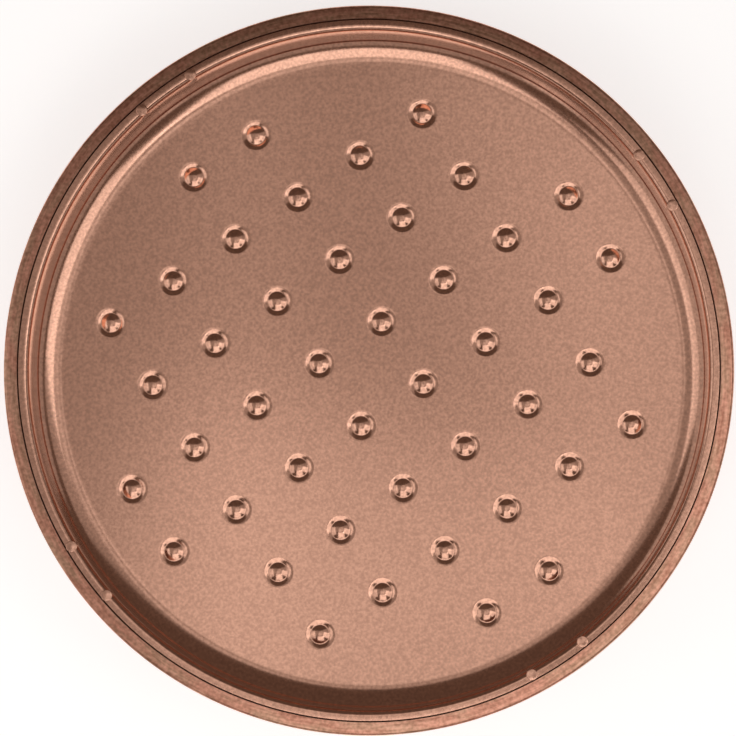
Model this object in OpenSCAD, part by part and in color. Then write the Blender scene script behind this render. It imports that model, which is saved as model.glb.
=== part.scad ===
// Round double-wall baking pan: a dimpled inner pan held in a plain outer shell by a folded rim.
// Origin: centre of the flat underside. +Z points up, out of the pan's mouth.

/* [Inner pan] */
// Inside diameter at the top of the wall, 9 inches
pan_d = 228.6; // [180:0.1:260]
// Inside depth, from the top of the rim strip down to the floor
pan_depth = 38.1; // [25:0.1:60]
// Thickness of the inner pan's steel sheet
pan_t = 0.6; // [0.5:0.05:0.8]
// Lean of both walls away from upright, in degrees
wall_draft = 1.5; // [1:0.5:8]
// Inside radius of the wide bend that turns the floor up at its edge
corner_r = 13; // [8:0.1:16]
// Slope that the wide bend reaches before the crease, in degrees
corner_slope = 37; // [25:1:50]
// Inside radius of the crease between the wide bend and the wall
crease_r = 0.6; // [0.4:0.1:3]
// Radius of the rounded shoulder at the top of the wall
shoulder_r = 1.9; // [1.2:0.1:3]

/* [Dimples] */
// Distance between neighbouring dimples on the square lattice
dimple_pitch = 25.6; // [20:0.1:32]
// Turn of the lattice about the pan's axis, in degrees
lattice_turn = 33.9; // [0:0.1:90]
// Diameter of a dimple where it leaves the floor
dimple_d = 11; // [9:0.1:14]
// Depth of a dimple, which is also the air gap under the floor
dimple_depth = 2.2; // [1.8:0.1:3.4]
// Diameter of a dimple's flat tip
tip_d = 0.6; // [0.3:0.1:2]
// Radius of the bend round a dimple's flat tip
tip_r = 1; // [0.6:0.1:1.4]

/* [Rim] */
// Slope of the rim, falling outwards, in degrees
rim_fall = 4; // [0:0.5:8]
// Width of the inner pan's strip between shoulder and seam
strip_w = 1.6; // [1.2:0.1:6]
// Step down of the inner pan's flange under the folded edge
joggle = 0.45; // [0.2:0.05:0.6]
// Width of the open seam between strip and folded edge
seam_w = 0.5; // [0.3:0.05:1]
// Width of the folded edge, from the seam to the outer edge
fold_w = 4.5; // [3:0.1:8]
// Clearance between the sheets inside the fold
fold_clear = 0.05; // [0.02:0.01:0.1]

/* [Pips] */
// Diameter of a pip on the shoulder
pip_d = 3.9; // [3:0.1:5]
// Height of a pip's flat top over the shoulder's top
pip_rise = 0.2; // [0.1:0.05:0.6]
// Height of a pip's straight side
pip_h = 2.2; // [1:0.1:6]
// Angle from the middle of a pair to each of its pips, in degrees
pip_spread = 5; // [3:0.1:10]

/* [Outer shell] */
// Thickness of the outer shell's steel sheet
shell_t = 0.6; // [0.5:0.05:0.8]
// Gap between the two walls
wall_gap = 2; // [1.2:0.1:4]
// Inside radius of the shell's bend between floor and wall
shell_corner_r = 8; // [5:0.1:14]
// Radius of the shell's shoulder under the rim
shell_shoulder_r = 1.1; // [1:0.1:2]

/* [Hidden] */
$fn = 96;
// Overrun of every cut past the face that it opens
over = 1;
// Straight steps in each bend of the sections
corner_steps = 12;
crease_steps = 5;
shoulder_steps = 8;
fold_steps = 10;
mouth_steps = 6;
tip_steps = 3;

// Angles of the four pairs of pips round the rim, counter-clockwise from +X
pip_pairs = [33.4, 126.1, 215.7, 303.2];
// Greatest distance of a dimple from the axis, in pitches
lattice_reach_share = 3.7;
lattice_steps = ceil(lattice_reach_share);
// Angle at which a dimple's mouth leaves the floor
mouth_break = 7;

// Unit vectors: out of the wall's inner face, and along and out of the rim
wall_normal = [-cos(wall_draft), sin(wall_draft)];
rim_along = [cos(rim_fall), -sin(rim_fall)];
rim_normal = [sin(rim_fall), cos(rim_fall)];

// Heights of the shell's floor, the pan's floor and the top of the shoulder
shell_floor_z = shell_t;
pan_floor_z = shell_floor_z + pan_t + dimple_depth;
rim_z = pan_floor_z + pan_depth;

// Centre, at height z, of a bend that the wall through a shoulder meets without a break
function bend_centre(shoulder_c, shoulder, bend, z) =
    [shoulder_c.x - (shoulder + bend + sin(wall_draft) * (shoulder_c.y - z)) / cos(wall_draft), z];

// Point of the rim at a distance along it and a height over the shoulder's centre
function on_rim(along, height) = pan_shoulder_c + along * rim_along + height * rim_normal;

pan_shoulder_c = [pan_d / 2 + shoulder_r * cos(wall_draft), rim_z - shoulder_r];
crease_offset = (corner_r - crease_r) * direction(corner_slope - 90);
crease_c = bend_centre(pan_shoulder_c, shoulder_r, crease_r, pan_floor_z + corner_r + crease_offset.y);
corner_c = crease_c - crease_offset;
// Bends between floor and wall, from the floor out: centre, radius, start angle, end angle, steps
// and the number of the first point that counts
pan_bends = [
    [corner_c, corner_r, -90, corner_slope - 90, corner_steps, 0],
    [crease_c, crease_r, corner_slope - 90, -wall_draft, crease_steps, 1]
];

// Heights of the folded sheets over the shoulder's centre, from the top of the stack down
strip_top = shoulder_r;
flange_top = strip_top - joggle;
fold_under = flange_top + fold_clear;
fold_top = fold_under + shell_t;
flange_under = flange_top - pan_t;
shell_flange_top = flange_under - fold_clear;
shell_flange_under = shell_flange_top - shell_t;
fold_r = (fold_top - shell_flange_under) / 2;

// Distances along the rim from the shoulder's centre
joggle_start = strip_w;
joggle_end = joggle_start + joggle;
fold_start = strip_w + seam_w;
fold_centre = fold_start + fold_w - fold_r;
flange_end = fold_centre;

// Shoulder of the shell, set so that the walls keep their gap
shell_shoulder_y = shell_flange_top - shell_shoulder_r;
shell_shoulder_x =
    (wall_gap + pan_t + shell_shoulder_r - shoulder_r - shell_shoulder_y * sin(rim_fall - wall_draft))
    / cos(wall_draft - rim_fall);
shell_shoulder_c = on_rim(shell_shoulder_x, shell_shoulder_y);
shell_corner_z = shell_floor_z + shell_corner_r;
shell_corner_c = bend_centre(shell_shoulder_c, shell_shoulder_r, shell_corner_r, shell_corner_z);
shell_bends = [[shell_corner_c, shell_corner_r, -90, -wall_draft, corner_steps, 0]];

// Section of a dimple, measured from the floor on its axis: the wide bend of its mouth runs from the
// floor straight into the small bend round its tip, as stretched sheet does between punch and die
tip_c = [tip_d / 2, tip_r - dimple_depth];
side_w = dimple_d / 2 - tip_c.x;
mouth_r = (side_w * side_w + tip_c.y * tip_c.y - tip_r * tip_r)
    / (2 * (tip_r - side_w * sin(mouth_break) - tip_c.y * cos(mouth_break)));
mouth_c = [dimple_d / 2 + mouth_r * sin(mouth_break), -mouth_r * cos(mouth_break)];
dimple_slope = atan2(mouth_c.x - tip_c.x, tip_c.y - mouth_c.y);

pip_r = pip_d / 2;
pip_top_z = rim_z + pip_rise;

// Points along an arc round a centre, from angle start to angle end; first = 1 leaves the first one out
function arc(centre, radius, start, end, steps, first = 0) =
    [for (k = [first : steps]) centre + radius * direction(start + (end - start) * k / steps)];

function direction(angle) = [cos(angle), sin(angle)];

// Floor, bends, wall and shoulder of a pressed sheet, from the axis out; skin is the depth below its top
function dish_line(floor_z, bends, shoulder_c, shoulder, skin) = concat(
    [[0, floor_z - skin]],
    [for (b = bends) each arc(b[0], b[1] + skin, b[2], b[3], b[4], b[5])],
    arc(shoulder_c, shoulder - skin, 180 - wall_draft, 90 - rim_fall, shoulder_steps)
);

function reversed(points) = [for (k = [len(points) - 1 : -1 : 0]) points[k]];

// Section of the inner pan: dish, strip, joggle and flange
module pan_section() {
    polygon(concat(
        dish_line(pan_floor_z, pan_bends, pan_shoulder_c, shoulder_r, 0),
        [
            on_rim(joggle_start, strip_top),
            on_rim(joggle_end, flange_top),
            on_rim(flange_end, flange_top),
            on_rim(flange_end, flange_under),
            on_rim(joggle_end, flange_under),
            on_rim(joggle_start, strip_top - pan_t)
        ],
        reversed(dish_line(pan_floor_z, pan_bends, pan_shoulder_c, shoulder_r, pan_t))
    ));
}

// Section of the shell: dish and flange, with its edge folded up and over the inner pan's flange
module shell_section() {
    fold_c = on_rim(fold_centre, fold_top - fold_r);
    polygon(concat(
        dish_line(shell_floor_z, shell_bends, shell_shoulder_c, shell_shoulder_r, 0),
        arc(fold_c, fold_r - shell_t, -90 - rim_fall, 90 - rim_fall, fold_steps),
        [
            on_rim(fold_start, fold_under),
            on_rim(fold_start, fold_top)
        ],
        arc(fold_c, fold_r, 90 - rim_fall, -90 - rim_fall, fold_steps),
        reversed(dish_line(shell_floor_z, shell_bends, shell_shoulder_c, shell_shoulder_r, shell_t))
    ));
}

// Solid from a dimple's surface up to a height over the floor; skin moves the surface outwards
module dimple_solid(skin, top) {
    rotate_extrude()
        polygon(concat(
            [[0, top], [mouth_c.x, top]],
            arc(mouth_c, mouth_r - skin, 90, 90 + dimple_slope, mouth_steps),
            arc(tip_c, tip_r + skin, dimple_slope - 90, -90, tip_steps, 1),
            [[0, tip_c.y - tip_r - skin]]
        ));
}

// Places its children at each dimple of the lattice
module at_dimples() {
    translate([0, 0, pan_floor_z])
        rotate([0, 0, lattice_turn])
            for (i = [-lattice_steps : lattice_steps - 1])
                for (j = [-lattice_steps : lattice_steps - 1])
                    if (norm([i + 1/2, j + 1/2]) < lattice_reach_share)
                        translate([(i + 1/2) * dimple_pitch, (j + 1/2) * dimple_pitch, 0])
                            children();
}

// Places its children at each pip
module at_pips() {
    for (pair = pip_pairs)
        for (side = [-1, 1])
            rotate([0, 0, pair + side * pip_spread])
                translate([pan_shoulder_c.x, 0, pip_top_z])
                    children();
}

// Round-ended peg of a pip, hanging down from its flat top
module pip_peg(radius, top) {
    translate([0, 0, -pip_h])
        cylinder(r = radius, h = pip_h + top);
    translate([0, 0, -pip_h])
        sphere(r = radius);
}

// Everything behind the middle of the inner pan's sheet at the shoulder
module behind_shoulder() {
    core_r = shoulder_r - pan_t / 2;
    down = 2 * (pip_h + pip_d);
    out = 2 * pip_d;
    wall_top = pan_shoulder_c + core_r * wall_normal;
    wall_low = wall_top + down * [-wall_normal.y, wall_normal.x];
    rotate_extrude() {
        translate(pan_shoulder_c)
            circle(r = core_r);
        polygon([
            wall_top,
            wall_low,
            [pan_shoulder_c.x + out, wall_low.y],
            on_rim(out, core_r),
            on_rim(0, core_r),
            pan_shoulder_c
        ]);
    }
}

module inner_pan() {
    color("#B5846C")
        difference() {
            union() {
                rotate_extrude()
                    pan_section();
                at_dimples()
                    dimple_solid(pan_t, -pan_t / 2);
                difference() {
                    at_pips()
                        pip_peg(pip_r, 0);
                    behind_shoulder();
                }
            }
            at_dimples()
                dimple_solid(0, over);
            at_pips()
                pip_peg(pip_r - pan_t, -pan_t);
        }
}

module outer_shell() {
    color("#9C6C55")
        rotate_extrude()
            shell_section();
}

inner_pan();
outer_shell();
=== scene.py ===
# Dresses the round double-wall baking pan: a dimpled inner pan held in a plain outer shell by its folded rim.
# Lengths in the dictionaries are millimetres, angles are degrees.
import math

import bmesh
import bpy
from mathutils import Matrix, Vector


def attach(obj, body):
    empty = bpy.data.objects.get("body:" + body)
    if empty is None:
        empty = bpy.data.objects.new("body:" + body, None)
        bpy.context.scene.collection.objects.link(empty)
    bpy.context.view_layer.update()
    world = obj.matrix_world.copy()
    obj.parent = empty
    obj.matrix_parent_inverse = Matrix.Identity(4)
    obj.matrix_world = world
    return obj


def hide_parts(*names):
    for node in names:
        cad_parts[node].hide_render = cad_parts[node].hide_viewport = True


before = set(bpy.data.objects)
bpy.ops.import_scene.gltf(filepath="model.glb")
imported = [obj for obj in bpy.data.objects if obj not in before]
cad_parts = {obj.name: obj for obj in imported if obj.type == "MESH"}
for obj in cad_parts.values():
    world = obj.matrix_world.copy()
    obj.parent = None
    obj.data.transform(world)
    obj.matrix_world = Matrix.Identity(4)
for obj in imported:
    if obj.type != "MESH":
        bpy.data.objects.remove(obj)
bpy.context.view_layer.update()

mm = 0.001
# Points closer than this are one, and edges turned by less than this angle are shaded smooth
weld = 0.001 * mm
smoothAngle = math.radians(30)
# A face whose normal rises by more than this share of its length is part of a flat floor
level = 0.999
bpy.ops.object.select_all(action="DESELECT")
print("frame loaded")


# Camera: straight over the pan, a little towards its lower right, as the floor's shift in the picture shows
cameraSetup = {
    "aim": (-0.2, 0.6, 41.5),
    "offset": (70, -94),
    "distance": 2800,
    "frameWidth": 247.4,
    "sensor": 36,
    "clip": (10, 20000),
}


def makeCamera(setup):
    data = bpy.data.cameras.new("camera")
    camera = bpy.data.objects.new("camera", data)
    bpy.context.scene.collection.objects.link(camera)
    aim = Vector(setup["aim"]) * mm
    place = aim + Vector((setup["offset"][0], setup["offset"][1], setup["distance"])) * mm
    camera.location = place
    look = aim - place
    # Up in the picture is +Y, so the camera is turned about X and Y only
    tiltX = math.atan2(look.y, -look.z)
    tiltY = -math.atan2(look.x, math.hypot(look.y, look.z))
    camera.rotation_euler = (tiltX, tiltY, 0)
    data.sensor_width = setup["sensor"]
    data.lens = setup["sensor"] * look.length / (setup["frameWidth"] * mm)
    data.clip_start, data.clip_end = setup["clip"][0] * mm, setup["clip"][1] * mm
    bpy.context.scene.camera = camera


makeCamera(cameraSetup)
print("camera set")


# Colours are written as sRGB hex and turned to linear here
def linear(hexColour):
    parts = [int(hexColour[k:k + 2], 16) / 255 for k in (1, 3, 5)]
    return tuple(p / 12.92 if p <= 0.04045 else ((p + 0.055) / 1.055) ** 2.4 for p in parts) + (1.0,)


# Adds one node, sets its fields and sockets, and links the sockets that are given another node's output
def addNode(tree, kind, fields=None, sockets=None):
    node = tree.nodes.new(kind)
    for name, value in (fields or {}).items():
        setattr(node, name, value)
    for name, value in (sockets or {}).items():
        if isinstance(value, bpy.types.NodeSocket):
            tree.links.new(value, node.inputs[name])
        else:
            node.inputs[name].default_value = value
    return node


def newMaterial(name):
    material = bpy.data.materials.new(name)
    material.use_nodes = True
    material.node_tree.nodes.clear()
    return material


# Studio: a white floor and softboxes round the pan. Each faces the pan, at an azimuth from the picture's
# right and an elevation over the floor. Its size is its width and height, and a brightness of 1 shows as
# white in a mirror
studio = {
    "floorSize": 4000,
    "floorDrop": 0.05,
    "floorColour": "#F2F1EF",
    "floorRoughness": 0.9,
    "floorGlow": 0.68,
    "glowColour": "#FFFFFF",
    "worldColour": "#FFDFCC",
    "worldStrength": 0.11,
    "distance": 900,
    "height": 30,
    "softboxes": [
        {"name": "south", "azimuth": 273, "elevation": 61, "size": (495, 480), "brightness": 1.1},
        {"name": "east", "azimuth": 342, "elevation": 60, "size": (400, 465), "brightness": 1.0},
        {"name": "north_east", "azimuth": 18, "elevation": 65, "size": (400, 740), "brightness": 0.25},
        {"name": "west", "azimuth": 192, "elevation": 49, "size": (600, 380), "brightness": 0.7},
        {"name": "west_high", "azimuth": 180, "elevation": 69, "size": (450, 550), "brightness": 0.22},
        {"name": "west_low", "azimuth": 190, "elevation": 23, "size": (1900, 420), "brightness": 0.35},
        {"name": "south_low", "azimuth": 270, "elevation": 18, "size": (1330, 580), "brightness": 0.24},
        {"name": "east_low", "azimuth": 345, "elevation": 18, "size": (1330, 580), "brightness": 0.24},
        {"name": "top", "azimuth": 90, "elevation": 88, "size": (200, 340), "brightness": 0.25},
        {"name": "top_south", "azimuth": 255, "elevation": 83, "size": (240, 220), "brightness": 0.36},
        {"name": "top_east", "azimuth": 12, "elevation": 80, "size": (230, 130), "brightness": 0.22},
    ],
}


# The floor shows white to the camera and to mirroring faces, and keeps the pan's shadow
def makeFloor(setup):
    bpy.ops.mesh.primitive_plane_add(size=setup["floorSize"] * mm, location=(0, 0, -setup["floorDrop"] * mm))
    floor = bpy.context.object
    floor.name = "floor"
    bpy.ops.object.transform_apply(location=True, rotation=True, scale=True)
    material = newMaterial("floor_paper")
    tree = material.node_tree
    rays = addNode(tree, "ShaderNodeLightPath")
    seen = rays.outputs["Is Camera Ray"]
    for ray in ("Is Glossy Ray", "Is Transmission Ray"):
        both = addNode(tree, "ShaderNodeMath", {"operation": "MAXIMUM"}, {0: seen, 1: rays.outputs[ray]})
        seen = both.outputs[0]
    glow = addNode(tree, "ShaderNodeMath", {"operation": "MULTIPLY"}, {0: seen, 1: setup["floorGlow"]})
    paper = addNode(tree, "ShaderNodeBsdfPrincipled", None, {
        "Base Color": linear(setup["floorColour"]),
        "Roughness": setup["floorRoughness"],
        "Emission Color": linear(setup["glowColour"]),
        "Emission Strength": glow.outputs[0],
    })
    addNode(tree, "ShaderNodeOutputMaterial", None, {"Surface": paper.outputs[0]})
    floor.data.materials.append(material)


def makeLights(setup):
    for box in setup["softboxes"]:
        data = bpy.data.lights.new("softbox_" + box["name"], "AREA")
        data.shape = "RECTANGLE"
        data.size, data.size_y = box["size"][0] * mm, box["size"][1] * mm
        data.energy = box["brightness"] * math.pi * data.size * data.size_y
        light = bpy.data.objects.new("softbox_" + box["name"], data)
        bpy.context.scene.collection.objects.link(light)
        light.visible_camera = False
        azimuth = math.radians(box["azimuth"])
        elevation = math.radians(box["elevation"])
        flat = math.cos(elevation)
        direction = Vector((math.cos(azimuth) * flat, math.sin(azimuth) * flat, math.sin(elevation)))
        light.location = direction * setup["distance"] * mm + Vector((0, 0, setup["height"] * mm))
        light.rotation_euler = direction.to_track_quat("Z", "Y").to_euler()
    world = bpy.data.worlds.new("studio")
    bpy.context.scene.world = world
    world.use_nodes = True
    back = world.node_tree.nodes["Background"]
    back.inputs["Color"].default_value = linear(setup["worldColour"])
    back.inputs["Strength"].default_value = setup["worldStrength"]


makeFloor(studio)
makeLights(studio)
bpy.context.scene.view_settings.view_transform = "Standard"
print("studio lit")


# Sizes that the two sheets share where the rim is folded
rim = {
    "insideDiameter": 228.6,
    "insideDepth": 38.1,
    "floorHeight": 3.4,
    "draft": 1.5,
    "shoulderRadius": 1.9,
    "fall": 4,
    "strip": 1.6,
    "joggle": 0.45,
    "seam": 0.5,
    "fold": 4.5,
    "clearance": 0.05,
    "sheet": 0.6,
}


def way(angle):
    return math.cos(math.radians(angle)), math.sin(math.radians(angle))


rimTop = rim["floorHeight"] + rim["insideDepth"]
shoulderCentre = (
    rim["insideDiameter"] / 2 + rim["shoulderRadius"] * way(rim["draft"])[0],
    rimTop - rim["shoulderRadius"],
)
flangeTop = rim["shoulderRadius"] - rim["joggle"]
foldUnder = flangeTop + rim["clearance"]
foldTop = foldUnder + rim["sheet"]
flangeUnder = flangeTop - rim["sheet"]
shellFlangeUnder = flangeUnder - rim["clearance"] - rim["sheet"]
foldRadius = (foldTop - shellFlangeUnder) / 2
foldStart = rim["strip"] + rim["seam"]
foldCentre = foldStart + rim["fold"] - foldRadius


# A point of the rim's section: how far out along the rim and how high over the shoulder's centre
def onRim(along, height):
    c, s = way(rim["fall"])
    return shoulderCentre[0] + along * c + height * s, shoulderCentre[1] - along * s + height * c


# Points of a round bend in a section, as (radius, height)
def bend(centre, radius, start, end, steps):
    points = []
    for k in range(steps + 1):
        c, s = way(start + (end - start) * k / steps)
        points.append((centre[0] + radius * c, centre[1] + radius * s))
    return points


# Centre, at a height, of the bend that meets the wall under a shoulder without a break
def bendCentre(shoulder, shoulderRadius, radius, height):
    c, s = way(rim["draft"])
    return shoulder[0] - (shoulderRadius + radius + s * (shoulder[1] - height)) / c, height


def between(start, end, share):
    return start[0] + (end[0] - start[0]) * share, start[1] + (end[1] - start[1]) * share


# A round skin: a circle at the outline's first point, extruded and resized to each point after it
def ringSkin(name, outline, sides):
    bpy.ops.object.select_all(action="DESELECT")
    bpy.ops.mesh.primitive_circle_add(
        vertices=sides, radius=outline[0][0] * mm, location=(0, 0, outline[0][1] * mm)
    )
    skin = bpy.context.object
    skin.name = name
    bpy.ops.object.transform_apply(location=True, rotation=True, scale=True)
    bpy.ops.object.mode_set(mode="EDIT")
    bpy.ops.mesh.select_all(action="SELECT")
    for here, there in zip(outline, outline[1:]):
        grow = there[0] / here[0]
        bpy.ops.mesh.extrude_region_move(TRANSFORM_OT_translate={"value": (0, 0, (there[1] - here[1]) * mm)})
        bpy.ops.transform.resize(value=(grow, grow, 1), center_override=(0, 0, 0))
    bpy.ops.object.mode_set(mode="OBJECT")
    return skin


# Selects, in edit mode, the open edges that lie at a height, and between two radii about a place
def selectOpenEdges(piece, height, reach):
    bpy.ops.mesh.select_all(action="DESELECT")
    mesh = bmesh.from_edit_mesh(piece.data)
    for edge in mesh.edges:
        flat = all(abs(v.co.z - height * mm) < weld for v in edge.verts)
        near = all(math.hypot(v.co.x, v.co.y) < reach * mm for v in edge.verts)
        if edge.is_boundary and flat and near:
            edge.select_set(True)
    mesh.select_flush(True)
    bmesh.update_edit_mesh(piece.data)


def editAll(piece):
    bpy.ops.object.select_all(action="DESELECT")
    piece.select_set(True)
    bpy.context.view_layer.objects.active = piece
    bpy.ops.object.mode_set(mode="EDIT")
    bpy.ops.mesh.select_all(action="SELECT")


def applyModifier(piece, kind, **fields):
    bpy.context.view_layer.objects.active = piece
    modifier = piece.modifiers.new(kind.lower(), kind)
    for name, value in fields.items():
        setattr(modifier, name, value)
    bpy.ops.object.modifier_apply(modifier=modifier.name)


# Gives an open skin its thickness, on the side that its faces turn away from
def thicken(piece, thickness):
    applyModifier(piece, "SOLIDIFY", thickness=thickness * mm, offset=-1, use_even_offset=True, use_rim=True)


def joinAll(pieces):
    bpy.ops.object.select_all(action="DESELECT")
    for piece in pieces:
        piece.select_set(True)
    bpy.context.view_layer.objects.active = pieces[0]
    bpy.ops.object.join()
    return pieces[0]


def copyTo(piece, place):
    twin = piece.copy()
    twin.data = piece.data.copy()
    bpy.context.scene.collection.objects.link(twin)
    twin.location = Vector(place) * mm
    return twin


innerPan = {
    "sides": 288,
    "cornerRadius": 13,
    "cornerSlope": 37,
    "cornerSteps": 14,
    "creaseRadius": 0.6,
    "creaseSteps": 6,
    "shoulderSteps": 12,
    "wallSteps": 3,
    "collar": 0.6,
}

dimple = {
    "pitch": 25.6,
    "turn": 33.9,
    "reach": 3.7,
    "diameter": 10.2,
    "mouthBreak": 6,
    "wallRadius": 6.5,
    "wallSlope": 20,
    "valleyRadius": 0.7,
    "buttonSlope": 23,
    "buttonFlat": 5,
    "sides": 36,
    "wallSteps": 6,
    "valleySteps": 6,
    "buttonSteps": 6,
    "collar": 0.4,
}

pip = {
    "diameter": 3.9,
    "rise": 0.2,
    "height": 2.2,
    "spread": 5,
    "pairs": (33.4, 126.1, 215.7, 303.2),
    "edge": 0.2,
    "sides": 48,
    "edgeSteps": 4,
    "ballEnd": -80,
    "ballSteps": 8,
}


# One dimple as a skin about the axis: a shallow moat, and in its middle a low button pressed back up
def makeDimple(setup):
    mouthBreak, wallSlope, buttonSlope = setup["mouthBreak"], setup["wallSlope"], setup["buttonSlope"]
    wallRadius, valleyRadius = setup["wallRadius"], setup["valleyRadius"]
    c, s = way(mouthBreak)
    wall = (setup["diameter"] / 2 + wallRadius * s, -wallRadius * c)
    c, s = way(wallSlope)
    step = wallRadius + valleyRadius
    valley = (wall[0] - step * s, wall[1] + step * c)
    c, s = way(buttonSlope)
    buttonRadius = valley[0] / s - valleyRadius
    button = (0, valley[1] - (valleyRadius + buttonRadius) * c)
    outline = [(setup["diameter"] / 2 + setup["collar"], 0)]
    outline += bend(wall, wallRadius, 90 + mouthBreak, 90 + wallSlope, setup["wallSteps"])
    outline += bend(valley, valleyRadius, wallSlope - 90, -90 - buttonSlope, setup["valleySteps"])[1:]
    flat = 90 - setup["buttonFlat"]
    outline += bend(button, buttonRadius, 90 - buttonSlope, flat, setup["buttonSteps"])[1:]
    skin = ringSkin("dimple", [(r, z + rim["floorHeight"]) for r, z in outline], setup["sides"])
    bpy.ops.object.mode_set(mode="EDIT")
    bpy.ops.mesh.edge_face_add()
    bpy.ops.object.mode_set(mode="OBJECT")
    return skin


def dimplePlaces(setup):
    steps = math.ceil(setup["reach"])
    places = []
    for i in range(-steps, steps):
        for j in range(-steps, steps):
            x, y = i + 0.5, j + 0.5
            if math.hypot(x, y) < setup["reach"]:
                c, s = way(setup["turn"])
                places.append((setup["pitch"] * (x * c - y * s), setup["pitch"] * (x * s + y * c), 0))
    return places


def makeInnerPan():
    slope = innerPan["cornerSlope"]
    creaseRadius = innerPan["creaseRadius"]
    c, s = way(slope - 90)
    step = innerPan["cornerRadius"] - creaseRadius
    creaseHeight = rim["floorHeight"] + innerPan["cornerRadius"] + step * s
    crease = bendCentre(shoulderCentre, rim["shoulderRadius"], creaseRadius, creaseHeight)
    corner = (crease[0] - step * c, crease[1] - step * s)
    cornerBend = bend(corner, innerPan["cornerRadius"], -90, slope - 90, innerPan["cornerSteps"])
    cornerBend += bend(crease, creaseRadius, slope - 90, -rim["draft"], innerPan["creaseSteps"])[1:]
    shoulderBend = bend(
        shoulderCentre, rim["shoulderRadius"], 180 - rim["draft"], 90 - rim["fall"], innerPan["shoulderSteps"]
    )
    outline = [(corner[0] - innerPan["collar"], rim["floorHeight"])] + cornerBend
    for k in range(1, innerPan["wallSteps"]):
        outline.append(between(cornerBend[-1], shoulderBend[0], k / innerPan["wallSteps"]))
    outline += shoulderBend
    outline.append(onRim(rim["strip"], rim["shoulderRadius"]))
    outline.append(onRim(rim["strip"] + rim["joggle"], flangeTop))
    outline.append(onRim(foldCentre, flangeTop))
    pan = ringSkin("inner_pan_skin", outline, innerPan["sides"])
    print("inner pan ringed")

    model = makeDimple(dimple)
    dimples = [copyTo(model, place) for place in dimplePlaces(dimple)]
    bpy.data.objects.remove(model)
    pan = joinAll([pan] + dimples)
    print("dimples placed:", len(dimples))

    editAll(pan)
    selectOpenEdges(pan, rim["floorHeight"], corner[0])
    bpy.ops.mesh.fill(use_beauty=True)
    bpy.ops.mesh.select_all(action="SELECT")
    bpy.ops.mesh.remove_doubles(threshold=weld)
    bpy.ops.mesh.normals_make_consistent(inside=False)
    mesh = bmesh.from_edit_mesh(pan.data)
    mesh.faces.ensure_lookup_table()
    floorUp = [f for f in mesh.faces if abs(f.normal.z) > level][0].normal.z > 0
    if not floorUp:
        bpy.ops.mesh.flip_normals()
    bpy.ops.object.mode_set(mode="OBJECT")
    thicken(pan, rim["sheet"])
    print("inner pan filled and thickened")
    return pan


# One peg for each pip, at the pip's place: a flat top with a rounded edge, a straight side and a ball end
def makePegs(name, radius, edge, drop):
    top = rimTop + pip["rise"] - drop
    low = rimTop + pip["rise"] - pip["height"]
    outline = bend((radius - edge, top - edge), edge, 90, 0, pip["edgeSteps"])
    outline += bend((0, low), radius, 0, pip["ballEnd"], pip["ballSteps"])
    model = ringSkin(name, outline, pip["sides"])
    editAll(model)
    bpy.ops.mesh.fill_holes(sides=0)
    bpy.ops.mesh.normals_make_consistent(inside=False)
    bpy.ops.object.mode_set(mode="OBJECT")
    places = []
    for middle in pip["pairs"]:
        for side in (-1, 1):
            c, s = way(middle + side * pip["spread"])
            places.append((shoulderCentre[0] * c, shoulderCentre[0] * s, 0))
    pegs = [copyTo(model, place) for place in places]
    bpy.data.objects.remove(model)
    pegs = joinAll(pegs)
    bpy.ops.object.transform_apply(location=True, rotation=True, scale=True)
    return pegs


# A ring that fills the space behind the middle of the sheet, at the shoulder
def makeBehindShoulder():
    core = rim["shoulderRadius"] - rim["sheet"] / 2
    out = 2 * pip["diameter"]
    down = 2 * (pip["height"] + pip["diameter"])
    c, s = way(rim["draft"])
    wallTop = (shoulderCentre[0] - core * c, shoulderCentre[1] + core * s)
    wallLow = (wallTop[0] - down * s, wallTop[1] - down * c)
    outline = [onRim(out, core), (shoulderCentre[0] + out, wallLow[1]), wallLow]
    outline += bend(shoulderCentre, core, 180 - rim["draft"], 90 - rim["fall"], innerPan["shoulderSteps"])
    outline.append(outline[0])
    ring = ringSkin("behind_shoulder", outline, innerPan["sides"])
    editAll(ring)
    bpy.ops.mesh.remove_doubles(threshold=weld)
    bpy.ops.mesh.normals_make_consistent(inside=False)
    bpy.ops.object.mode_set(mode="OBJECT")
    return ring


def cutOrJoin(piece, other, operation):
    applyModifier(piece, "BOOLEAN", object=other, operation=operation, solver="MANIFOLD")


# Presses the pips up out of the shoulder: each stands on the sheet and is hollow from below
def pressPips(pan):
    pegs = makePegs("pips", pip["diameter"] / 2, pip["edge"], 0)
    hollows = makePegs("pip_hollows", pip["diameter"] / 2 - rim["sheet"], pip["edge"], rim["sheet"])
    behind = makeBehindShoulder()
    cutOrJoin(pegs, behind, "DIFFERENCE")
    cutOrJoin(pan, pegs, "UNION")
    cutOrJoin(pan, hollows, "DIFFERENCE")
    for helper in (pegs, hollows, behind):
        bpy.data.objects.remove(helper)


def countOpen(piece):
    mesh = bmesh.new()
    mesh.from_mesh(piece.data)
    count = sum(not edge.is_manifold for edge in mesh.edges)
    mesh.free()
    return count


inner = makeInnerPan()
print("open edges before pips", countOpen(inner))
pressPips(inner)
print("open edges after pips", countOpen(inner), "faces", len(inner.data.polygons))
bpy.ops.object.select_all(action="DESELECT")
inner.select_set(True)
bpy.context.view_layer.objects.active = inner
bpy.ops.object.shade_smooth_by_angle(angle=smoothAngle)

shell = {
    "sides": 384,
    "wallGap": 2,
    "cornerRadius": 8,
    "shoulderRadius": 1.1,
    "cornerSteps": 12,
    "shoulderSteps": 8,
    "foldSteps": 14,
    "wallSteps": 3,
}


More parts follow.
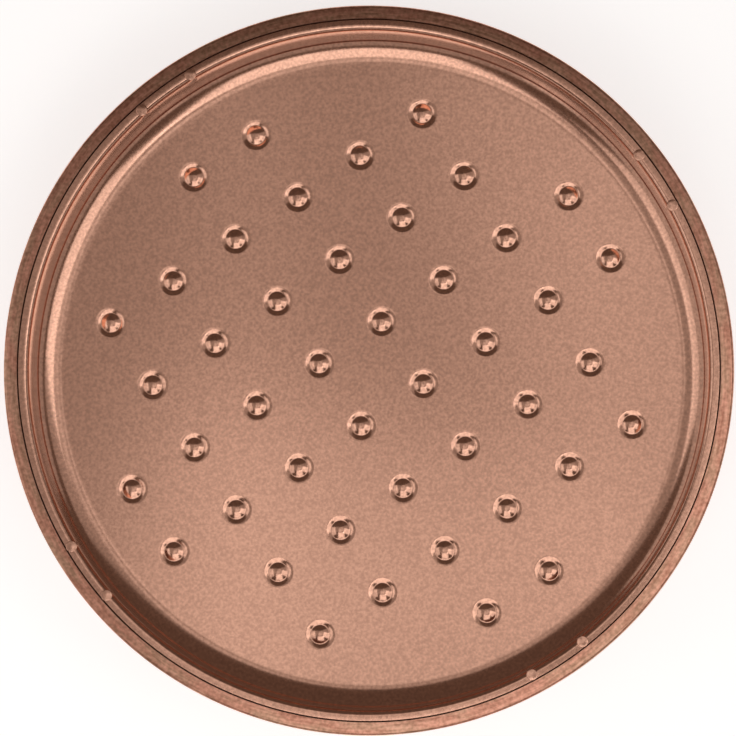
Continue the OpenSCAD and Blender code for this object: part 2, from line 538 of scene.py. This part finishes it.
def makeShell():
    sheet, draft, fall = rim["sheet"], rim["draft"], rim["fall"]
    shoulderRadius, cornerRadius = shell["shoulderRadius"], shell["cornerRadius"]
    shoulderHeight = flangeUnder - rim["clearance"] - shoulderRadius
    c, s = way(fall - draft)
    shoulderGap = shell["wallGap"] + sheet + shoulderRadius - rim["shoulderRadius"]
    shoulder = onRim((shoulderGap - shoulderHeight * s) / c, shoulderHeight)
    corner = bendCentre(shoulder, shoulderRadius, cornerRadius, sheet + cornerRadius)
    cornerBend = bend(corner, cornerRadius + sheet, -90, -draft, shell["cornerSteps"])
    shoulderBend = bend(shoulder, shoulderRadius - sheet, 180 - draft, 90 - fall, shell["shoulderSteps"])
    fold = onRim(foldCentre, foldTop - foldRadius)
    outline = [(corner[0] - innerPan["collar"], 0)] + cornerBend
    for k in range(1, shell["wallSteps"]):
        outline.append(between(cornerBend[-1], shoulderBend[0], k / shell["wallSteps"]))
    outline += shoulderBend
    outline += bend(fold, foldRadius, -90 - fall, 90 - fall, shell["foldSteps"])
    outline.append(onRim(foldStart, foldTop))
    skin = ringSkin("outer_shell_skin", outline, shell["sides"])
    editAll(skin)
    selectOpenEdges(skin, 0, corner[0])
    bpy.ops.mesh.edge_face_add()
    bpy.ops.mesh.select_all(action="SELECT")
    bpy.ops.mesh.normals_make_consistent(inside=False)
    mesh = bmesh.from_edit_mesh(skin.data)
    floorDown = [f for f in mesh.faces if abs(f.normal.z) > level][0].normal.z < 0
    if not floorDown:
        bpy.ops.mesh.flip_normals()
    bpy.ops.object.mode_set(mode="OBJECT")
    thicken(skin, sheet)
    bpy.ops.object.shade_smooth_by_angle(angle=smoothAngle)
    return skin


# Gives the shell's second material to the ring of faces where its sheet was cut, in the seam. That material's
# dark colour is painted shade for the seam's crevice
def markCutEdge(skin):
    radius, height = onRim(foldStart, foldTop - rim["sheet"] / 2)
    reach = rim["sheet"] / 4 * mm
    for face in skin.data.polygons:
        out = math.hypot(face.center.x, face.center.y) - radius * mm
        up = face.center.z - height * mm
        face.material_index = int(abs(out) < reach and abs(up) < reach)


outer = makeShell()
markCutEdge(outer)
print("outer shell made")


# Non-stick coating of the inner pan: copper-toned flake in a clear binder, sprayed on pressed steel and
# cured. It mirrors softly, and its fine flake and orange peel show as a mottle of about a millimetre
innerCoating = {
    "dark": "#D59F85",
    "light": "#F3B89B",
    "grainSpread": (0.3, 0.7),
    "grainSize": 1.0,
    "grainHeight": 0.003,
    "roughness": 0.15,
}

# The same coating on the shell's rolled sheet, where folding has drawn it into streaks along the edge
outerCoating = {
    "dark": "#9E664A",
    "light": "#FABA9D",
    "ruddy": "#CE8268",
    "olive": "#BC9574",
    "toneSpread": (0.7, 1.3),
    "tintSpread": (0.4, 0.6),
    "grainSize": 1.3,
    "grainHeight": 0.02,
    "streakLength": 9,
    "streakWidth": 0.8,
    "streakHeight": 0.05,
    "tintLength": 14,
    "tintWidth": 3,
    "tintShare": 0.35,
    "roughness": 0.3,
}

# Bare steel where the shell's sheet was cut. Its colour is made dark brown as painted shade, standing in for
# the shadow in the seam's crevice
cutEdgeSeamShade = {
    "dark": "#2A1C17",
    "light": "#5E4335",
    "blotchSpread": (0.3, 0.7),
    "blotchSize": 1.5,
    "metallic": 0.6,
    "roughness": 0.5,
}


# Noise stretched along the pan's circumference: length and width are the size of one streak
def addStreaks(tree, place, length, width):
    parts = addNode(tree, "ShaderNodeSeparateXYZ", None, {0: place})
    radius = addNode(tree, "ShaderNodeVectorMath", {"operation": "LENGTH"}, {
        0: addNode(tree, "ShaderNodeCombineXYZ", None, {0: parts.outputs[0], 1: parts.outputs[1]}).outputs[0],
    }).outputs["Value"]
    edge = rim["insideDiameter"] / 2 / length
    around = []
    for axis in (0, 1):
        share = addNode(tree, "ShaderNodeMath", {"operation": "DIVIDE"}, {0: parts.outputs[axis], 1: radius})
        share = addNode(tree, "ShaderNodeMath", {"operation": "MULTIPLY"}, {0: share.outputs[0], 1: edge})
        around.append(share)
    across = addNode(tree, "ShaderNodeMath", {"operation": "ADD"}, {0: radius, 1: parts.outputs[2]})
    across = addNode(tree, "ShaderNodeMath", {"operation": "DIVIDE"}, {0: across.outputs[0], 1: width * mm})
    spot = addNode(tree, "ShaderNodeCombineXYZ", None, {
        0: around[0].outputs[0], 1: around[1].outputs[0], 2: across.outputs[0],
    })
    return addNode(tree, "ShaderNodeTexNoise", None, {"Vector": spot.outputs[0], "Scale": 1.0, "Detail": 2.0})


def addGrain(tree, place, size):
    scale = 1 / (size * mm)
    return addNode(tree, "ShaderNodeTexNoise", None, {"Vector": place, "Scale": scale, "Detail": 1.0})


# Spreads a noise's middle values over 0 to 1
def addSpread(tree, value, ends):
    low, high = ends
    spread = addNode(tree, "ShaderNodeMapRange", None, {"Value": value, "From Min": low, "From Max": high})
    return spread.outputs[0]


def addBlend(tree, share, first, second):
    return addNode(tree, "ShaderNodeMix", {"data_type": "RGBA"}, {0: share, 6: first, 7: second}).outputs[2]


def addRelief(tree, value, height, under=None):
    sockets = {"Height": value, "Distance": height * mm, "Strength": 1.0}
    if under is not None:
        sockets["Normal"] = under
    return addNode(tree, "ShaderNodeBump", None, sockets).outputs[0]


def finishCoating(tree, tone, roughness, relief):
    finish = addNode(tree, "ShaderNodeBsdfPrincipled", None, {
        "Base Color": tone, "Metallic": 1.0, "Roughness": roughness, "Normal": relief,
        "Coat Weight": 1.0, "Coat Roughness": roughness,
    })
    addNode(tree, "ShaderNodeOutputMaterial", None, {"Surface": finish.outputs[0]})


def makeInnerCoating(setup):
    material = newMaterial("copper_flake_nonstick")
    tree = material.node_tree
    place = addNode(tree, "ShaderNodeTexCoord").outputs["Object"]
    grain = addGrain(tree, place, setup["grainSize"]).outputs[0]
    share = addSpread(tree, grain, setup["grainSpread"])
    tone = addBlend(tree, share, linear(setup["dark"]), linear(setup["light"]))
    relief = addRelief(tree, grain, setup["grainHeight"])
    finishCoating(tree, tone, setup["roughness"], relief)
    return material


def makeOuterCoating(setup):
    material = newMaterial("copper_flake_nonstick_drawn")
    tree = material.node_tree
    place = addNode(tree, "ShaderNodeTexCoord").outputs["Object"]
    grain = addGrain(tree, place, setup["grainSize"]).outputs[0]
    streaks = addStreaks(tree, place, setup["streakLength"], setup["streakWidth"]).outputs[0]
    tints = addStreaks(tree, place, setup["tintLength"], setup["tintWidth"]).outputs[0]
    mixed = addNode(tree, "ShaderNodeMath", {"operation": "ADD"}, {0: grain, 1: streaks})
    share = addSpread(tree, mixed.outputs[0], setup["toneSpread"])
    tone = addBlend(tree, share, linear(setup["dark"]), linear(setup["light"]))
    share = addSpread(tree, tints, setup["tintSpread"])
    tint = addBlend(tree, share, linear(setup["ruddy"]), linear(setup["olive"]))
    tone = addBlend(tree, setup["tintShare"], tone, tint)
    relief = addRelief(tree, grain, setup["grainHeight"])
    relief = addRelief(tree, streaks, setup["streakHeight"], relief)
    finishCoating(tree, tone, setup["roughness"], relief)
    return material


# The cut edge's material: a real bare edge, darkened with painted shade so that the seam shows as a dark line
def makeCutEdgePaintedShade(setup):
    material = newMaterial("cut_edge_painted_seam_shade")
    tree = material.node_tree
    place = addNode(tree, "ShaderNodeTexCoord").outputs["Object"]
    blotches = addGrain(tree, place, setup["blotchSize"]).outputs[0]
    share = addSpread(tree, blotches, setup["blotchSpread"])
    tone = addBlend(tree, share, linear(setup["dark"]), linear(setup["light"]))
    steel = addNode(tree, "ShaderNodeBsdfPrincipled", None, {
        "Base Color": tone, "Metallic": setup["metallic"], "Roughness": setup["roughness"],
    })
    addNode(tree, "ShaderNodeOutputMaterial", None, {"Surface": steel.outputs[0]})
    return material


# Pressing the pips leaves an empty material slot on the inner pan, so it is cleared first
inner.data.materials.clear()
inner.data.materials.append(makeInnerCoating(innerCoating))
# The shell's second material is the cut edge, made dark with painted seam shade
for material in (makeOuterCoating(outerCoating), makeCutEdgePaintedShade(cutEdgeSeamShade)):
    outer.data.materials.append(material)

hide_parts("inner_pan")
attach(inner, "root")
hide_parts("outer_shell")
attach(outer, "root")

print("pieces ride on the pan's body")
